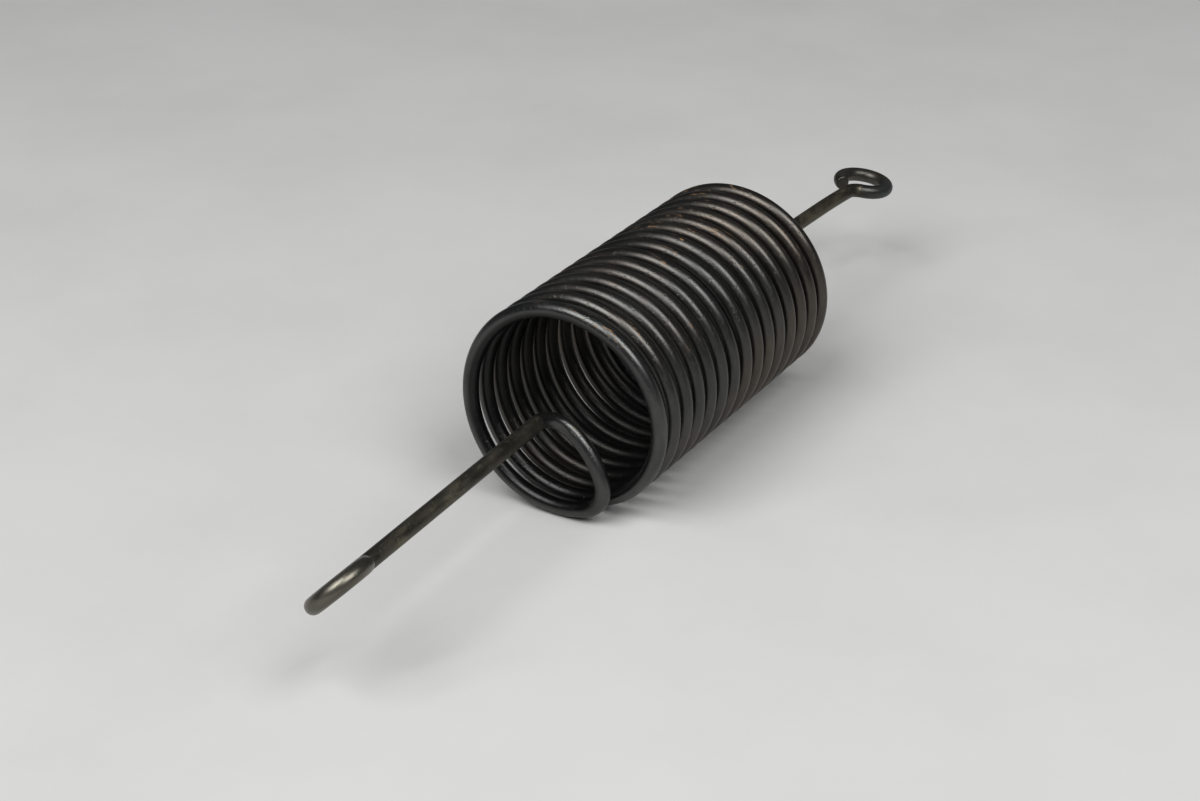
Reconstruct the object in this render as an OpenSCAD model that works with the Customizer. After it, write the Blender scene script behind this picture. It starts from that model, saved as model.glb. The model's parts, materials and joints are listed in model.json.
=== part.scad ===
// Open-coiled extension spring bent from one round wire.
// A right-handed coil lies along X. At each end the wire turns in across the
// coil, runs out along the axis as a straight shank and closes in a round eye.
// The coil is cut into half turns at its lowest and highest points. There the
// wire runs straight along Y, and each half turn twists about it when the
// spring is pulled, so the cut faces stay face to face over the whole travel.

/* [Wire] */
// Diameter of the spring wire, mm
wire_d = 5.2; // [4:0.1:5.6]
// Width of the cut between two half turns, mm
cut_w = 0.3; // [0.2:0.05:0.5]

/* [Coil] */
// Radius of the coil to the middle of the wire, mm
coil_r = 33.5; // [31:0.5:38]
// Advance along the axis in one turn, mm
pitch = 8.05; // [6.5:0.05:12]
// Number of half turns, an even number
half_turns = 30; // [4:2:30]

/* [Hooks] */
// Radius of the tight bend where the wire leaves the coil, mm
turn_in_r = 9.2; // [8:0.2:10]
// Radius of the gently curved leg that crosses the coil, mm
leg_r = 29.6; // [28:0.2:32]
// Radius of the bend from the leg into the shank, mm
turn_out_r = 8.8; // [7:0.2:11]
// Direction of the leg where it reaches the axis, degrees from horizontal
leg_heading = 143.6; // [140:0.2:147]

/* [Near end] */
// Arc of the last coil turn that belongs to the near hook, degrees
near_arc = 18.8; // [15:0.2:22]
// Angle of the near hook's tight bend, degrees
near_turn_in = 87.7; // [84:0.1:91]
// Angle of the bend into the near shank, degrees
near_turn_out = 91.8; // [90:0.1:93]
// Length of the straight near shank, mm
near_shank_l = 92; // [60:1:130]
// Direction in which the wire leaves the shank to form the near eye, degrees
near_eye_side = 225; // [0:1:360]

/* [Far end] */
// Arc of the last coil turn that belongs to the far hook, degrees
far_arc = 25.1; // [22:0.2:28]
// Angle of the far hook's tight bend, degrees
far_turn_in = 77.9; // [76:0.1:81]
// Angle of the bend into the far shank, degrees
far_turn_out = 90.7; // [90:0.1:93]
// Sideways lean of the far shank, degrees
far_lean = -1.7; // [-3:0.1:3]
// Length of the straight far shank, mm
far_shank_l = 83; // [60:1:130]
// Direction in which the wire leaves the shank to form the far eye, degrees
far_eye_side = 187; // [0:1:360]

/* [Eyes] */
// Radius of each eye to the middle of the wire, mm
eye_r = 9; // [8:0.1:13]
// Radius of the small bend between shank and eye, mm
eye_neck_r = 5.5; // [4:0.1:7]
// Gap that the wire's end would leave if the shank ran straight on, mm
eye_gap = 0.2; // [0.1:0.05:1]

/* [Hidden] */
$fn = 64;
steel_dark = [0.16, 0.16, 0.17];
steel_shank = [0.27, 0.27, 0.25];
steel_worn = [0.55, 0.53, 0.50];

// height of the coil's axis, with its lowest points on the ground
axis_z = coil_r + wire_d / 2;
coil_l = pitch * half_turns / 2;

// each half turn is half of a plain ring, tipped to advance half a pitch
tilt = atan(pitch / 4 / coil_r);
ring_r = coil_r / cos(tilt);
cut_angle = asin(cut_w / 2 / ring_r);

// leg angles that bring both hooks to the same heading
near_leg = leg_heading - near_arc - near_turn_in;
far_leg = leg_heading - far_arc - far_turn_in;

// the neck swings out until the eye's middle lies on the shank's line
neck_angle = acos(eye_neck_r / (eye_neck_r + eye_r));
neck_reach = (eye_neck_r + eye_r) * sin(neck_angle);
end_angle = asin((wire_d + eye_gap) / eye_r);
eye_arc = 270 + neck_angle - end_angle;

// distance of each eye's tip from its hook's plane
near_reach = turn_out_r + near_shank_l + neck_reach + eye_r + wire_d / 2;
far_reach = turn_out_r + far_shank_l + neck_reach + eye_r + wire_d / 2;

// the origin is under the middle of the whole length
near_x = (near_reach - coil_l - far_reach) / 2;
far_x = near_x + coil_l;

function half_turn_name(i) = str("half_turn_", i < 10 ? "0" : "", i);

// Wire running along +X and curving toward +Y, starting at the origin.
module bend(r, angle) {
    translate([0, r, 0]) rotate(-90)
        rotate_extrude(angle = angle) translate([r, 0]) circle(d = wire_d);
}

// Wire running straight along +X from the origin.
module straight(length) {
    rotate([0, 90, 0]) cylinder(d = wire_d, h = length);
}

// Carries its children to the end of a bend.
module past_bend(r, angle) {
    translate([0, r, 0]) rotate(angle) translate([0, -r, 0]) children();
}

// Start of a hook: the coil's lowest point, with the wire running sideways
// and the coil's middle on its left.
module near_hook_start() {
    translate([near_x, 0, axis_z - coil_r])
        rotate([90, 0, -90]) children();
}

module far_hook_start() {
    translate([far_x, 0, axis_z - coil_r])
        rotate([90, 0, 90]) children();
}

// Carries its children to the start of each length of a hook in turn.
module at_turn_in(arc) {
    past_bend(coil_r, arc) children();
}

module at_leg(arc, turn_in) {
    at_turn_in(arc) past_bend(turn_in_r, turn_in) children();
}

module at_turn_out(arc, turn_in, lean) {
    at_leg(arc, turn_in) past_bend(leg_r, leg_heading - arc - turn_in)
        rotate([90 + lean, 0, 0]) children();
}

module at_near_shank() {
    near_hook_start() at_turn_out(near_arc, near_turn_in, 0)
        past_bend(turn_out_r, near_turn_out) children();
}

module at_far_shank() {
    far_hook_start() at_turn_out(far_arc, far_turn_in, far_lean)
        past_bend(turn_out_r, far_turn_out) children();
}

// The neck swings out from the shank to the given side, and the eye closes
// the other way round.
module at_neck(side) {
    rotate([side - leg_heading - 180, 0, 0]) children();
}

module at_eye(side) {
    at_neck(side) past_bend(eye_neck_r, neck_angle) rotate([180, 0, 0])
        children();
}

module near_coil_end() {
    color(steel_dark) near_hook_start() at_turn_in(cut_angle)
        bend(coil_r, near_arc - cut_angle);
}

module near_turn_in() {
    color(steel_dark) near_hook_start() at_turn_in(near_arc)
        bend(turn_in_r, near_turn_in);
}

module near_leg() {
    color(steel_dark) near_hook_start() at_leg(near_arc, near_turn_in)
        bend(leg_r, near_leg);
}

module near_turn_out() {
    color(steel_dark) near_hook_start()
        at_turn_out(near_arc, near_turn_in, 0)
            bend(turn_out_r, near_turn_out);
}

module near_shank() {
    color(steel_shank) at_near_shank() straight(near_shank_l);
}

module near_neck() {
    color(steel_shank) at_near_shank() translate([near_shank_l, 0, 0])
        at_neck(near_eye_side) bend(eye_neck_r, neck_angle);
}

module near_eye() {
    color(steel_worn) at_near_shank() translate([near_shank_l, 0, 0])
        at_eye(near_eye_side) bend(eye_r, eye_arc);
}

module far_coil_end() {
    color(steel_dark) far_hook_start() at_turn_in(cut_angle)
        bend(coil_r, far_arc - cut_angle);
}

module far_turn_in() {
    color(steel_dark) far_hook_start() at_turn_in(far_arc)
        bend(turn_in_r, far_turn_in);
}

module far_leg() {
    color(steel_dark) far_hook_start() at_leg(far_arc, far_turn_in)
        bend(leg_r, far_leg);
}

module far_turn_out() {
    color(steel_dark) far_hook_start()
        at_turn_out(far_arc, far_turn_in, far_lean) bend(turn_out_r, far_turn_out);
}

module far_shank() {
    color(steel_shank) at_far_shank() straight(far_shank_l);
}

module far_neck() {
    color(steel_shank) at_far_shank() translate([far_shank_l, 0, 0])
        at_neck(far_eye_side) bend(eye_neck_r, neck_angle);
}

module far_eye() {
    color(steel_worn) at_far_shank() translate([far_shank_l, 0, 0])
        at_eye(far_eye_side) bend(eye_r, eye_arc);
}

// Half turn i of the coil. Odd ones climb on the +Y side, even ones descend on
// the -Y side.
module half_turn(i) {
    climbs = i % 2 == 1;
    color(steel_dark)
        translate([near_x + (i - 0.5) * pitch / 2, 0, axis_z])
            rotate([0, climbs ? tilt : -tilt, 0]) rotate([0, 90, 0])
                rotate(climbs ? cut_angle : 180 + cut_angle)
                    rotate_extrude(angle = 180 - 2 * cut_angle)
                        translate([ring_r, 0]) circle(d = wire_d);
}

near_eye();
near_neck();
near_shank();
near_turn_out();
near_leg();
near_turn_in();
near_coil_end();
for (i = [1:half_turns])
    half_turn(i);
far_coil_end();
far_turn_in();
far_leg();
far_turn_out();
far_shank();
far_neck();
far_eye();
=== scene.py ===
import json
from math import acos, asin, atan, atan2, ceil, cos, degrees, pi, radians, sin

import bpy
import numpy as np
from mathutils import Matrix, Vector


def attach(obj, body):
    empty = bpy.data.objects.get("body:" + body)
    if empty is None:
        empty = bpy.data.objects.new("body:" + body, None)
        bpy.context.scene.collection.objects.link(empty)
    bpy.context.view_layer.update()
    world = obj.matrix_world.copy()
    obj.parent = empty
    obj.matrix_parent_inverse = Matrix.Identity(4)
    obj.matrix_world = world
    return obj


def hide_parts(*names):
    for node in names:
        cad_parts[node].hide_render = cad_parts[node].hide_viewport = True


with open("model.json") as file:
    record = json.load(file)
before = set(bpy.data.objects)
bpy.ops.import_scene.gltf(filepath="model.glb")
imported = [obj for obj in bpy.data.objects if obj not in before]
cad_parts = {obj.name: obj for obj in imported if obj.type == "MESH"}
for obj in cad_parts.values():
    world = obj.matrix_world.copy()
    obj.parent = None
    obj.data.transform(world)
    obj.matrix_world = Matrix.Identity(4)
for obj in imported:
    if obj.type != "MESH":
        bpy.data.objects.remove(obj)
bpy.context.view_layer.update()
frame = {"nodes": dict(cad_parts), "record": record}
joints = frame["record"]["behaviour"]["joints"]
print("frame loaded:", len(frame["nodes"]), "nodes")

# wire stock
wire = {
    "thickness": 0.0052,
    "facets": 32,          # round the wire
    "bendStep": 2.5,       # degrees, in open bends
    "tightStep": 5,        # degrees, in bends under tightRadius
    "tightRadius": 0.012,
    "straightStep": 0.004,
    "creaseAngle": 40,
}
wireRadius = wire["thickness"] / 2

# the coil's ends and middle line follow from its joints
nearX = joints[0]["pos_m"][0]
farX = joints[-1]["pos_m"][0]
lowZ = joints[0]["pos_m"][2]
highZ = joints[1]["pos_m"][2]
axisZ = (lowZ + highZ) / 2
coilRadius = (highZ - lowZ) / 2
halfTurns = len(joints) - 1
halfTurnLength = pi * coilRadius


def turned(angle, axis):
    return Matrix.Rotation(radians(angle), 4, axis)


def moved(x, y, z):
    return Matrix.Translation((x, y, z))


# A place on the wire is a matrix: its X runs along the wire and its Y points
# to the middle of the next bend.
def pastBend(place, radius, angle):
    return (place @ moved(0, radius, 0) @ turned(angle, "Z")
            @ moved(0, -radius, 0))


def startWire(name, place):
    bpy.ops.object.select_all(action="DESELECT")
    ring = place @ turned(90, "Y")
    bpy.ops.mesh.primitive_circle_add(
        vertices=wire["facets"], radius=wireRadius, fill_type="NOTHING",
        location=ring.translation, rotation=ring.to_euler())
    piece = bpy.context.object
    piece.name = piece.data.name = name
    bpy.ops.object.transform_apply(location=True, rotation=True, scale=True)
    bpy.ops.object.mode_set(mode="EDIT")
    bpy.ops.mesh.select_mode(type="EDGE")
    bpy.ops.mesh.select_all(action="SELECT")
    return piece


# bendWire and runWire leave the newest ring of edges selected
def bendWire(place, line, radius, angle, steps=0):
    tight = radius < wire["tightRadius"]
    step = wire["tightStep"] if tight else wire["bendStep"]
    steps = steps or ceil(angle / step)
    bpy.ops.mesh.spin(
        steps=steps, angle=-radians(angle),
        center=place @ Vector((0, radius, 0)),
        axis=place.to_3x3() @ Vector((0, 0, 1)))
    for i in range(1, steps + 1):
        line.append(pastBend(place, radius, angle * i / steps).translation)
    return pastBend(place, radius, angle)


def runWire(place, line, length):
    steps = ceil(length / wire["straightStep"])
    forward = place.to_3x3() @ Vector((length / steps, 0, 0))
    for i in range(steps):
        bpy.ops.mesh.extrude_edges_move(
            TRANSFORM_OT_translate={"value": forward})
        line.append(line[-1] + forward)
    return place @ moved(length, 0, 0)


# closes what is open and smooths the sides
def closeWire(piece):
    bpy.ops.mesh.select_all(action="DESELECT")
    bpy.ops.mesh.select_non_manifold()
    bpy.ops.mesh.fill_holes(sides=wire["facets"])
    bpy.ops.mesh.select_all(action="SELECT")
    bpy.ops.mesh.normals_make_consistent(inside=False)
    bpy.ops.mesh.select_all(action="DESELECT")
    bpy.ops.object.mode_set(mode="OBJECT")
    bpy.ops.object.shade_smooth_by_angle(angle=radians(wire["creaseAngle"]))


# Stores for every vertex its place in the wire as if pulled straight, and
# returns the length passed and the side direction at the end. The side
# direction is carried along without turning about the wire.
def layAlong(piece, line, startLength, direction, side):
    mesh = piece.data
    places = np.array([v.co for v in mesh.vertices])
    line = np.array(line)
    gaps = ((places[:, None, :] - line[None, :, :]) ** 2).sum(axis=2)
    nearest = gaps.argmin(axis=1)
    forward = np.gradient(line, axis=0)
    forward /= np.linalg.norm(forward, axis=1)[:, None]
    sides = []
    for heading in forward:
        side = side - heading * side.dot(heading)
        side = side / np.linalg.norm(side)
        sides.append(side)
    sides = np.array(sides)
    ups = np.cross(forward, sides) * direction
    steps = np.linalg.norm(np.diff(line, axis=0), axis=1)
    lengths = np.concatenate([[0.0], np.cumsum(steps)])
    offset = places - line[nearest]
    along = (offset * forward[nearest]).sum(axis=1)
    lay = np.stack([
        startLength + direction * (lengths[nearest] + along),
        (offset * sides[nearest]).sum(axis=1),
        (offset * ups[nearest]).sum(axis=1)], axis=1)
    store = mesh.attributes.new("wireLay", "FLOAT_VECTOR", "POINT")
    store.data.foreach_set("vector", lay.astype(np.float32).ravel())
    return startLength + direction * lengths[-1], side


# finishes, each one the coil's with its own changes
coilFinish = {
    "black": (0.090, 0.090, 0.087),
    "brown": (0.116, 0.103, 0.091),
    "nearEnd": (0.104, 0.106, 0.103),   # all that is near the coil's near end
    "bare": (0.26, 0.25, 0.23),
    "rust": (0.24, 0.14, 0.060),
    "scale": (0.17, 0.155, 0.115),
    "metallic": 0.93,
    "smooth": 0.29, "rough": 0.42,
    "mottle": (0.85, 1.2),
    # painted shade on the inner side of the wire, facing the coil's axis
    "innerDull": 0.66,                  # how much darker the inner side is
    "flakes": 0,                        # strength of the patches of scale
    "rustFrom": 0.62,
    "scuffFrom": 0.70,
    "pitDepth": 0.25, "grainDepth": 0.08,
    "wear": 0.16,
}
shankFinish = dict(
    coilFinish, black=(0.070, 0.070, 0.060), brown=(0.104, 0.093, 0.070),
    nearEnd=(0.090, 0.083, 0.067), flakes=0.8, innerDull=0,
    smooth=0.38, rough=0.60, mottle=(0.6, 1.5), rustFrom=0.72, pitDepth=0.6,
    grainDepth=0.2, wear=0.35, metallic=0.80)
nearEyeFinish = dict(
    coilFinish, nearEnd=(0.175, 0.166, 0.140), innerDull=0,
    smooth=0.34, rough=0.46, mottle=(0.75, 1.25), rustFrom=0.78, pitDepth=0.12,
    grainDepth=0.1, wear=0.2, metallic=0.88)
farEyeFinish = dict(
    shankFinish, black=(0.078, 0.081, 0.082), brown=(0.102, 0.094, 0.076),
    smooth=0.32, rough=0.46, pitDepth=0.12, grainDepth=0.1,
    flakes=0.2, wear=0.12)


def node(tree, kind, values=None, **links):
    made = tree.nodes.new("ShaderNode" + kind)
    for key, value in (values or {}).items():
        if isinstance(key, int) or key in made.inputs:
            made.inputs[key].default_value = value
        else:
            setattr(made, key, value)
    for key, source in links.items():
        socket = int(key[1:]) if key[1:].isdigit() else key    # _0 is socket 0
        target = made.inputs[socket]
        tree.links.new(source, target)
    return made


def ramp(tree, source, low, high):
    made = node(tree, "MapRange", {"From Min": low, "From Max": high,
                "interpolation_type": "SMOOTHSTEP"}, Value=source)
    return made.outputs["Result"]


def blendColour(tree, factor, first, second):
    made = tree.nodes.new("ShaderNodeMix")
    made.data_type = "RGBA"
    for socket, value in ((0, factor), (6, first), (7, second)):
        if isinstance(value, tuple):
            made.inputs[socket].default_value = (*value, 1)
        else:
            tree.links.new(value, made.inputs[socket])
    return made.outputs[2]


def calculate(tree, operation, first, second):
    made = tree.nodes.new("ShaderNodeMath")
    made.operation = operation
    made.use_clamp = True
    for socket, value in ((0, first), (1, second)):
        if isinstance(value, (int, float)):
            made.inputs[socket].default_value = value
        else:
            tree.links.new(value, made.inputs[socket])
    return made.outputs[0]


def noise(tree, place, scale, detail, stretch=None):
    if stretch:
        place = node(tree, "Mapping", {"Scale": stretch}, Vector=place).outputs[0]
    made = node(tree, "TexNoise", {"Scale": scale, "Detail": detail,
                "Roughness": noiseRoughness}, Vector=place)
    return made.outputs["Fac"]


# how fine each pattern is, its detail and its scale along and across the
# wire, then the noise values between which it fades in
patterns = {
    "tint": (16, 3, None, 0.40, 0.62),
    "mottle": (240, 6, (0.35, 1, 1), 0.25, 0.8),
    "scuff": (330, 5, (0.16, 1, 1), -0.08, 0.04),     # from the look's scuffFrom
    "scale": (190, 7, (0.45, 1, 1), 0.58, 0.66),
    "clusters": (34, 2, None, 0.52, 0.64),
    "specks": (800, 4, (0.3, 1, 1), -0.05, 0.03),     # from the look's rustFrom
    "lines": (1500, 3, (0.02, 1, 1)),
    "grain": (2600, 5, (0.6, 1, 1)),
    "pits": (900, 3, None, 0.30, 0.42),
    "clouds": (9, 6, None, 0.35, 0.75),               # on the floor
}
# the near end's own colour, rub marks and polish
nearEndLook = {
    "full": 0.006, "none": 0.016,      # metres past the coil's first cut
    "scuffs": 0.15, "polish": 0.05,
}
rustLook = {"rough": 0.35, "dull": 0.9}
# near-black colour of the painted shade on the wire's inner side
paintedShadeColour = (0.004, 0.004, 0.004)
grooveDepth = 0.0002
pitDistance = 0.0003
noiseRoughness = 0.6

# how far a surface faces that way where each effect starts and is full
facingFrom = {
    "inwards": (0.15, -0.5),
    "upwards": (0.3, 0.7),
    "outwards": (0.0, 0.5),
}


def patternNoise(tree, place, name):
    return noise(tree, place, *patterns[name][:3])


def fadedNoise(tree, place, name, start=0):
    low, high = patterns[name][3:]
    return ramp(tree, patternNoise(tree, place, name), start + low, start + high)


def springSteel(name, look):
    material = bpy.data.materials.new(name)
    material.use_nodes = True
    tree = material.node_tree
    shader = tree.nodes["Principled BSDF"]
    place = node(tree, "TexCoord").outputs["Object"]
    lay = node(tree, "Attribute", {"attribute_name": "wireLay"}).outputs["Vector"]

    # oil-browned areas, and the near end with its own colour
    tint = fadedNoise(tree, place, "tint")
    colour = blendColour(tree, tint, look["black"], look["brown"])
    alongX = node(tree, "SeparateXYZ", Vector=place).outputs["X"]
    nearEnd = ramp(tree, alongX, nearX + nearEndLook["none"],
                   nearX + nearEndLook["full"])
    colour = blendColour(tree, nearEnd, colour, look["nearEnd"])
    mottle = fadedNoise(tree, lay, "mottle")
    shade = node(tree, "HueSaturation", Color=colour)
    tree.links.new(node(tree, "MapRange", {"To Min": look["mottle"][0],
                        "To Max": look["mottle"][1]},
                        Value=mottle).outputs[0], shade.inputs["Value"])
    colour = shade.outputs[0]

    # rub marks that follow the wire
    scuff = fadedNoise(tree, lay, "scuff", look["scuffFrom"])
    scuff = calculate(tree, "MULTIPLY", scuff, calculate(
        tree, "ADD", calculate(tree, "MULTIPLY", nearEnd, nearEndLook["scuffs"]),
        look["wear"]))
    colour = blendColour(tree, scuff, colour, look["bare"])

    # painted shade: the side of the wire facing the coil's axis is darkened
    # towards near black
    normal = node(tree, "NewGeometry").outputs["Normal"]
    fromAxis = node(tree, "VectorMath", {"operation": "MULTIPLY", 1: (0, 1, 1)})
    centred = node(tree, "VectorMath", {"operation": "SUBTRACT",
                   1: (0, 0, axisZ)}, Vector=place)
    tree.links.new(centred.outputs[0], fromAxis.inputs[0])
    outwards = node(tree, "VectorMath", {"operation": "NORMALIZE"},
                    Vector=fromAxis.outputs[0])
    facing = node(tree, "VectorMath", {"operation": "DOT_PRODUCT"},
                  _0=outwards.outputs[0], _1=normal)
    paintedShade = ramp(tree, facing.outputs["Value"], *facingFrom["inwards"])
    paintedShade = calculate(tree, "MULTIPLY", paintedShade, look["innerDull"])
    colour = blendColour(tree, paintedShade, colour, paintedShadeColour)

    # dull patches of forging scale
    if look["flakes"]:
        scale = fadedNoise(tree, lay, "scale")
        scale = calculate(tree, "MULTIPLY", scale, look["flakes"])
        colour = blendColour(tree, scale, colour, look["scale"])

    # specks and short streaks of rust on the upper side
    upward = node(tree, "SeparateXYZ", Vector=normal).outputs["Z"]
    clusters = fadedNoise(tree, place, "clusters")
    specks = fadedNoise(tree, lay, "specks", look["rustFrom"])
    rust = calculate(tree, "MULTIPLY", specks, clusters)
    onTop = ramp(tree, upward, *facingFrom["upwards"])
    outside = ramp(tree, facing.outputs["Value"], *facingFrom["outwards"])
    rust = calculate(tree, "MULTIPLY", rust, onTop)
    rust = calculate(tree, "MULTIPLY", rust, outside)
    colour = blendColour(tree, rust, colour, look["rust"])
    tree.links.new(colour, shader.inputs["Base Color"])

    roughness = node(tree, "MapRange", {"To Min": look["smooth"],
                     "To Max": look["rough"]}, Value=mottle).outputs[0]
    roughness = calculate(tree, "ADD", roughness,
                          calculate(tree, "MULTIPLY", rust, rustLook["rough"]))
    roughness = calculate(
        tree, "SUBTRACT", roughness,
        calculate(tree, "MULTIPLY", nearEnd, nearEndLook["polish"]))
    tree.links.new(roughness, shader.inputs["Roughness"])
    bareMetal = calculate(tree, "SUBTRACT", look["metallic"],
                          calculate(tree, "MULTIPLY", rust, rustLook["dull"]))
    tree.links.new(bareMetal, shader.inputs["Metallic"])

    # drawing lines, grain and small pits
    lines = patternNoise(tree, lay, "lines")
    grain = patternNoise(tree, lay, "grain")
    pits = fadedNoise(tree, place, "pits")
    bump = node(tree, "Bump", {"Strength": look["grainDepth"],
                "Distance": grooveDepth}, Height=lines)
    bump = node(tree, "Bump", {"Strength": look["grainDepth"],
                "Distance": grooveDepth}, Height=grain, Normal=bump.outputs[0])
    bump = node(tree, "Bump", {"Strength": look["pitDepth"],
                "Distance": pitDistance}, Height=pits, Normal=bump.outputs[0])
    tree.links.new(bump.outputs[0], shader.inputs["Normal"])
    return material


steels = {
    "coil": springSteel("coilSteel", coilFinish),
    "shank": springSteel("shankSteel", shankFinish),
    "nearEye": springSteel("nearEyeSteel", nearEyeFinish),
    "farEye": springSteel("farEyeSteel", farEyeFinish),
}
print("finishes mixed")


def fit(piece, body, finish, slot, *nodes):
    piece.data.materials.append(steels[finish])
    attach(piece, body)
    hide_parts(*nodes)


# coil: one half turn, spun once and copied into every place
coil = {
    # A wound coil is never quite even. These are some of the cuts between half
    # turns and how far each is off its even place, in metres along the axis.
    "cuts": (0, 1, 2, 4, 13, 15, 19, 22, 30),
    "offBy": (0, 0.0001, 0.0005, 0.0006, -0.0003, 0.0004, 0.0003, -0.0001, 0),
}


def cutX(i):
    even = nearX + (farX - nearX) * i / halfTurns
    return even + float(np.interp(i, coil["cuts"], coil["offBy"]))


def windHalfTurn():
    start = Matrix((
        (0, 0, 1, 0),
        (1, 0, 0, 0),
        (0, 1, 0, -coilRadius),
        (0, 0, 0, 1)))
    piece = startWire("halfTurn", start)
    line = [start.translation.copy()]
    bendWire(start, line, coilRadius, 180)
    closeWire(piece)
    layAlong(piece, line, 0, 1, np.array((1.0, 0, 0)))
    return piece


pattern = windHalfTurn()
for i in range(halfTurns):
    x0, x1 = cutX(i), cutX(i + 1)
    climbs = i % 2 == 0
    # a tipped ring has to be wider to keep the coil's radius
    lean = atan((x1 - x0) / 2 / coilRadius)
    size = Matrix.Scale(1 / cos(lean), 4)
    tip = Matrix.Rotation(lean if climbs else -lean, 4, "Y")
    place = (moved((x0 + x1) / 2, 0, axisZ) @ tip @ size
             @ (Matrix() if climbs else turned(180, "X")))
    piece = pattern.copy()
    piece.data = pattern.data.copy()
    piece.name = piece.data.name = f"halfTurn{i + 1:02d}"
    piece.data.transform(place)
    bpy.context.collection.objects.link(piece)
    store = piece.data.attributes["wireLay"].data
    lay = np.zeros(len(store) * 3, np.float32)
    store.foreach_get("vector", lay)
    lay[0::3] += i * halfTurnLength
    store.foreach_set("vector", lay)
    fit(piece, f"coil_{i + 1:02d}", "coil", "coil_steel", f"half_turn_{i + 1:02d}")
bpy.data.objects.remove(pattern)
print("coil wound:", halfTurns, "half turns")

# hooks, shanks and eyes, in metres and degrees
hooks = {
    "turnInRadius": 0.0092,
    "legRadius": 0.0296,
    "turnOutRadius": 0.0088,
    "legHeading": 143.6,
    "eyeRadius": 0.009,
    "neckRadius": 0.0055,
    "endGap": 0.0002,      # between the eye's end and the shank's line carried on
    "endTrim": 2,          # degrees of eye left for the end's chamfer
    "endChamfer": 0.0002, "endShrink": 0.92,
    "sagLength": 0.025,    # of shank before the eye that may bend down
    "sagSteps": 6,
}
# arc is the coil's share in a hook, sag how far the shank's end bends down
ends = {
    "near": {"x": nearX, "yaw": -90, "arc": 18.8, "turnIn": 87.7, "lean": 0,
             "turnOut": 91.6, "shank": 0.092, "sag": 0, "eyeSide": 225},
    "far": {"x": farX, "yaw": 90, "arc": 25.8, "turnIn": 73.6, "lean": -1.7,
            "turnOut": 90.7, "shank": 0.083, "sag": 3.1, "eyeSide": 187},
}
# the neck swings out until the eye's middle lies on the shank's line
neckAngle = degrees(acos(
    hooks["neckRadius"] / (hooks["neckRadius"] + hooks["eyeRadius"])))
closeAngle = degrees(asin(
    (wire["thickness"] + hooks["endGap"]) / hooks["eyeRadius"]))
eyeArc = 270 + neckAngle - closeAngle


# knocks the edge off the sheared end
def chamferEnd(place, line):
    forward = place.to_3x3() @ Vector((hooks["endChamfer"], 0, 0))
    bpy.ops.mesh.extrude_edges_move(TRANSFORM_OT_translate={"value": forward})
    line.append(line[-1] + forward)
    bpy.ops.transform.resize(value=(hooks["endShrink"],) * 3,
                             center_override=line[-1])


# degrees to turn a place about its wire so that its Y points down
def rollDown(place):
    down = place.to_3x3().inverted() @ Vector((0, 0, -1))
    return degrees(atan2(down.z, down.y))


def bendEnd(end, settings):
    def named(part):
        return end + part

    body = end + "_end"
    away = -1 if end == "near" else 1
    length = 0 if end == "near" else halfTurns * halfTurnLength
    side = np.array((1.0, 0, 0))

    place = (moved(settings["x"], 0, lowZ) @ turned(settings["yaw"], "Z")
             @ turned(90, "X"))
    hook = startWire(named("Hook"), place)
    line = [place.translation.copy()]
    place = bendWire(place, line, coilRadius, settings["arc"])
    place = bendWire(place, line, hooks["turnInRadius"], settings["turnIn"])
    place = bendWire(place, line, hooks["legRadius"],
                     hooks["legHeading"] - settings["arc"] - settings["turnIn"])
    place = place @ turned(90 + settings["lean"], "X")
    place = bendWire(place, line, hooks["turnOutRadius"], settings["turnOut"])
    closeWire(hook)
    length, side = layAlong(hook, line, length, away, side)
    fit(hook, body, "coil", "coil_steel", end + "_coil_end", end + "_turn_in",
        end + "_leg", end + "_turn_out")

    shank = startWire(named("Shank"), place)
    line = [place.translation.copy()]
    straight = settings["shank"]
    if settings["sag"]:
        straight -= hooks["sagLength"]
    place = runWire(place, line, straight)
    if settings["sag"]:
        roll = rollDown(place)
        place = bendWire(place @ turned(roll, "X"), line,
                         hooks["sagLength"] / radians(settings["sag"]),
                         settings["sag"], hooks["sagSteps"])
        place = place @ turned(-roll, "X")
    place = place @ turned(settings["eyeSide"] - hooks["legHeading"] - 180, "X")
    place = bendWire(place, line, hooks["neckRadius"], neckAngle)
    closeWire(shank)
    length, side = layAlong(shank, line, length, away, side)
    fit(shank, body, "shank", "shank_steel", end + "_shank", end + "_neck")

    place = place @ turned(180, "X")
    eye = startWire(named("Eye"), place)
    line = [place.translation.copy()]
    place = bendWire(place, line, hooks["eyeRadius"], eyeArc - hooks["endTrim"])
    chamferEnd(place, line)
    closeWire(eye)
    layAlong(eye, line, length, away, side)
    fit(eye, body, named("Eye"), "worn_steel", end + "_eye")
    print(end, "end bent")


for end, settings in ends.items():
    bendEnd(end, settings)

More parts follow.
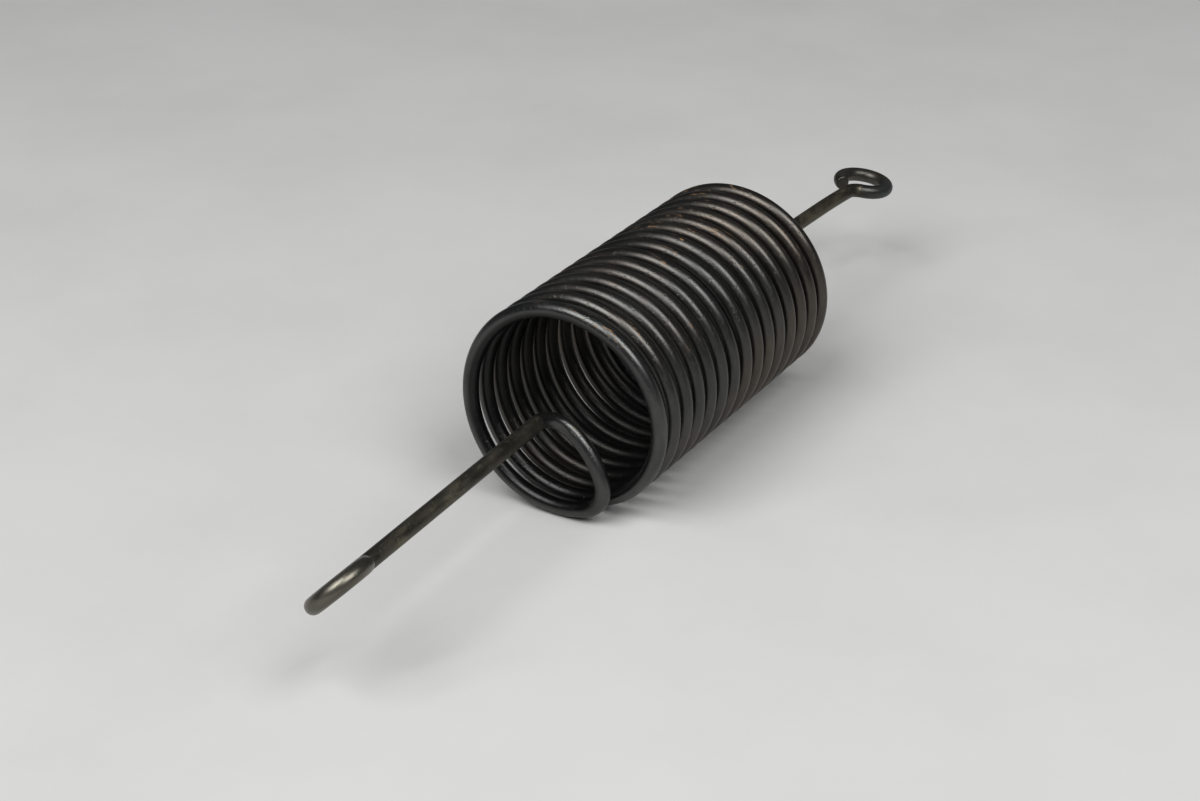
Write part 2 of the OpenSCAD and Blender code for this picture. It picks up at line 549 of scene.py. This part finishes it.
# floor
floorLook = {
    "size": 6, "below": 0.0001,
    "colour": (0.60, 0.60, 0.592), "patch": (0.57, 0.568, 0.555),
    "rough": 0.9, "shine": 0.2,
}
bpy.ops.object.select_all(action="DESELECT")
bpy.ops.mesh.primitive_plane_add(
    size=floorLook["size"], location=(0, 0, -floorLook["below"]))
floor = bpy.context.object
floor.name = "floor"
floorPaper = bpy.data.materials.new("floorPaper")
floorPaper.use_nodes = True
tree = floorPaper.node_tree
place = node(tree, "TexCoord").outputs["Object"]
clouds = fadedNoise(tree, place, "clouds")
paper = tree.nodes["Principled BSDF"].inputs
tree.links.new(blendColour(tree, clouds, floorLook["colour"], floorLook["patch"]),
               paper["Base Color"])
paper["Roughness"].default_value = floorLook["rough"]
paper["Specular IOR Level"].default_value = floorLook["shine"]
floor.data.materials.append(floorPaper)

# two softboxes in front, left and right of the camera, and a dim room
camera = {
    "place": (-0.58545, -0.33374, 0.36570),
    "heading": 30.964, "down": 27.454,
    "lens": 67.74, "sensor": 36,
}
lights = {
    "leftBox": {"heading": 169, "up": 52, "distance": 2.1,
                "size": 1.4, "power": 35.5},
    "rightBox": {"heading": 253, "up": 52, "distance": 2.1,
                 "size": 1.4, "power": 30.5},
}
room = {"colour": (0.93, 0.96, 1.0), "strength": 0.10, "gamma": 0.85}


def direction(heading, up):
    return Vector((cos(radians(up)) * cos(radians(heading)),
                   cos(radians(up)) * sin(radians(heading)), sin(radians(up))))


for name, box in lights.items():
    lamp = bpy.data.lights.new(name, "AREA")
    lamp.shape = "SQUARE"
    lamp.size = box["size"]
    lamp.energy = box["power"]
    softbox = bpy.data.objects.new(name, lamp)
    away = direction(box["heading"], box["up"])
    softbox.location = away * box["distance"]
    softbox.rotation_mode = "QUATERNION"
    softbox.rotation_quaternion = away.to_track_quat("Z", "Y")
    bpy.context.collection.objects.link(softbox)

world = bpy.data.worlds.new("room")
world.use_nodes = True
background = world.node_tree.nodes["Background"]
background.inputs["Color"].default_value = (*room["colour"], 1)
background.inputs["Strength"].default_value = room["strength"]
bpy.context.scene.world = world
bpy.context.scene.view_settings.view_transform = "Standard"
bpy.context.scene.view_settings.gamma = room["gamma"]

lens = bpy.data.cameras.new("camera")
lens.lens = camera["lens"]
lens.sensor_width = camera["sensor"]
lens.clip_start = 0.01
seen = bpy.data.objects.new("camera", lens)
seen.location = camera["place"]
seen.rotation_mode = "QUATERNION"
lookAlong = direction(camera["heading"], -camera["down"])
seen.rotation_quaternion = lookAlong.to_track_quat("-Z", "Y")
bpy.context.collection.objects.link(seen)
bpy.context.scene.camera = seen
print("lights and camera set")
